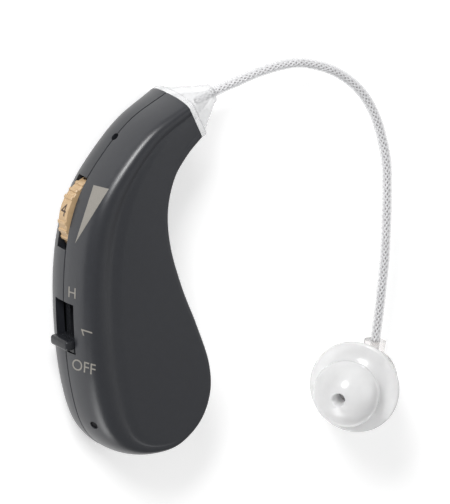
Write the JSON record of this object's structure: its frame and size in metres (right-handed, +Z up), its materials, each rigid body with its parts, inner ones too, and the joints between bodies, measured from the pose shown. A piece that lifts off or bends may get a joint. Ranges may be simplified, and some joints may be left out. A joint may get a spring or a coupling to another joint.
{
  "type": "behind the ear hearing aid",
  "caption": "Curved hearing aid case worn behind the ear, with a volume wheel, a slide switch, a thin preformed sound tube and a soft ear tip.",
  "frame": {"origin": "a point on the flat of the far side panel, on which the case lies, near the middle of the case", "axes": "+X towards the case's hollow side and the sound tube, +Y towards the nozzle end, +Z up from the rest face through the case's thickness"},
  "size_m": [0.054, 0.054, 0.0153],
  "materials": {
    "case_plastic": "fine satin grain, dark grey",
    "clear_plastic": "clear moulded plastic, polished",
    "braided_tube": "clear tube over a silver-white braid",
    "adapter_plastic": "clear plastic with a faint warm tint",
    "silicone": "translucent soft silicone",
    "wheel_plastic": "beige moulded plastic with printed numbers",
    "pot_resin": "brown phenolic base",
    "steel": "plain steel",
    "contact_brass": "plated contacts",
    "switch_plastic": "dark smooth plastic",
    "board_laminate": "green solder mask",
    "chip_plastic": "black moulded package",
    "capacitor_ceramic": "tan ceramic",
    "black_rubber": "soft black boot",
    "grey_rubber": "soft grey boot, pad and tube",
    "nickel_strip": "nickel strip",
    "lens_plastic": "clear diffusing plastic",
    "wire_plastic": "thin insulated lead"
  },
  "bodies": {
    "case": {"near_shell": "case_plastic", "far_shell": "case_plastic", "nozzle": "clear_plastic", "sound_tube": "braided_tube", "tip_adapter": "adapter_plastic", "pot_base": "pot_resin", "pot_screw": "steel", "pot_terminals": "contact_brass", "switch_housing": "switch_plastic", "switch_terminals": "contact_brass", "circuit_board": "board_laminate", "amplifier_chip": "chip_plastic", "capacitors": "capacitor_ceramic", "resistors": "chip_plastic", "microphone": "steel", "microphone_boot": "black_rubber", "receiver": "steel", "receiver_boot": "grey_rubber", "receiver_tube": "grey_rubber", "battery_cell": "steel", "battery_tabs": "nickel_strip", "battery_pad": "grey_rubber", "charge_jack": "switch_plastic", "jack_contacts": "contact_brass", "indicator_lens": "lens_plastic", "indicator_led": "lens_plastic", "case_screws": "steel", "lead_wires": "wire_plastic"},
    "volume_wheel": {"volume_wheel": "wheel_plastic"},
    "switch_knob": {"switch_knob": "switch_plastic"},
    "ear_tip": {"ear_tip": "silicone"}
  },
  "joints": [
    {"name": "volume_turn", "type": "hinge", "parent": "case", "child": "volume_wheel", "pos_m": [-0.00586, 0.0114, 0.00395], "axis": [0, 0, 1], "range_deg": [-60, 240]},
    {"name": "switch_slide", "type": "slide", "parent": "case", "child": "switch_knob", "axis": [-0.0518, 0.9987, 0], "range_m": [0, 0.0048]},
    {"name": "tip_pull", "type": "slide", "parent": "case", "child": "ear_tip", "axis": [-0.7557, 0.0848, 0.6494], "range_m": [0, 0.01]}
  ]
}
